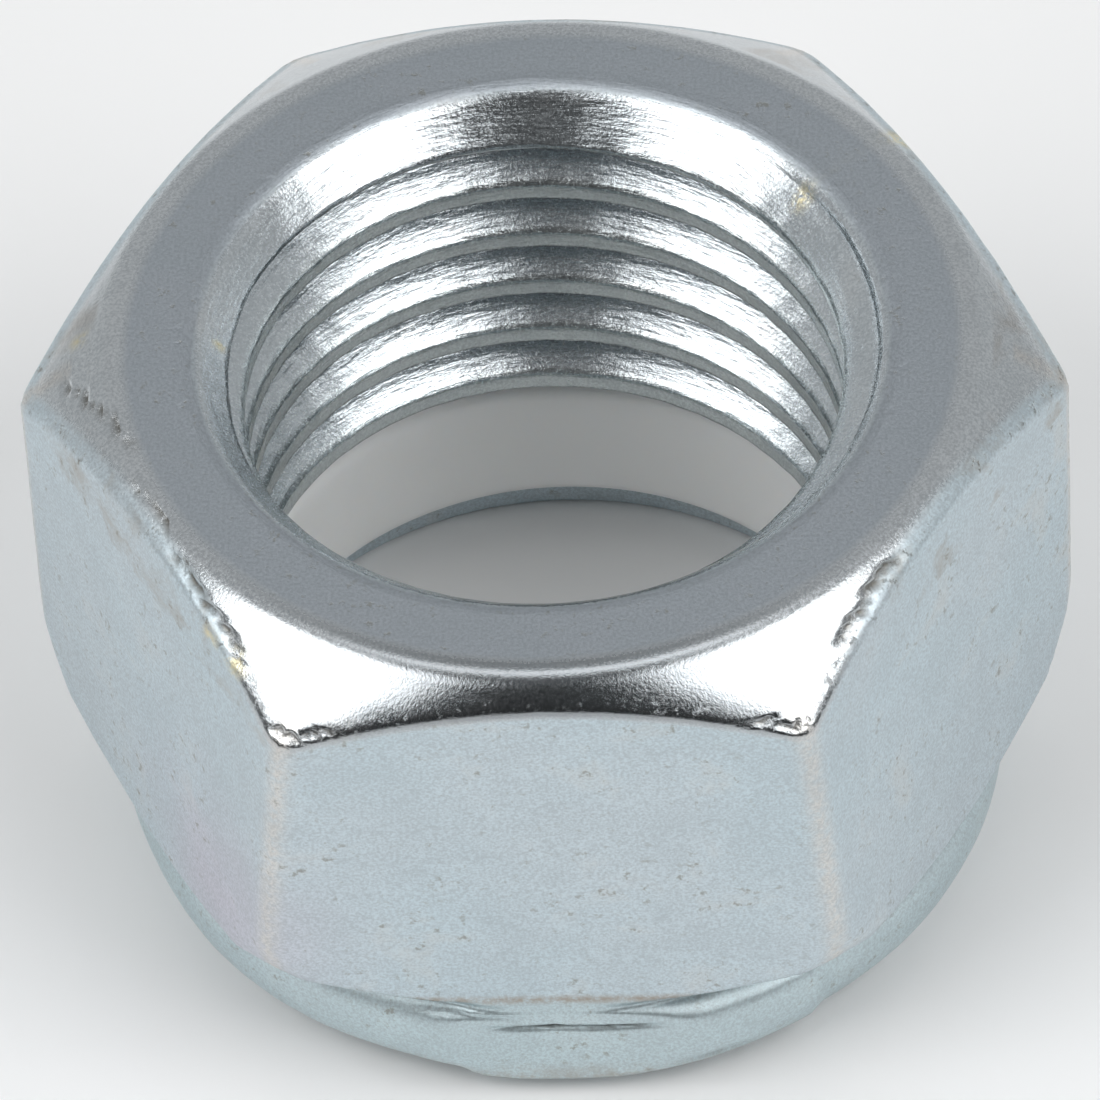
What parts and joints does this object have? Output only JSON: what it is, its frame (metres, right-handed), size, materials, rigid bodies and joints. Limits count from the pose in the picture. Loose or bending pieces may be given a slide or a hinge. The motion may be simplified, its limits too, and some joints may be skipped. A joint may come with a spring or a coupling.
{
  "type": "hex nut",
  "caption": "Hexagon lock nut with a chamfered bearing face, a fine internal thread and a plastic locking ring rolled into its round collar.",
  "frame": {"origin": "on the thread axis at the end of the collar, the surface that the nut stands on in the picture", "axes": "+Z along the thread axis, out of the bearing face; +X through two opposite corners of the hexagon, so that a flat faces -Y"},
  "size_m": [0.022, 0.019, 0.0136],
  "materials": {
    "zinc_plated_steel": "satin",
    "natural_nylon": "satin"
  },
  "bodies": {
    "root": {"nut_body": "zinc_plated_steel", "locking_ring": "natural_nylon"}
  },
  "joints": []
}
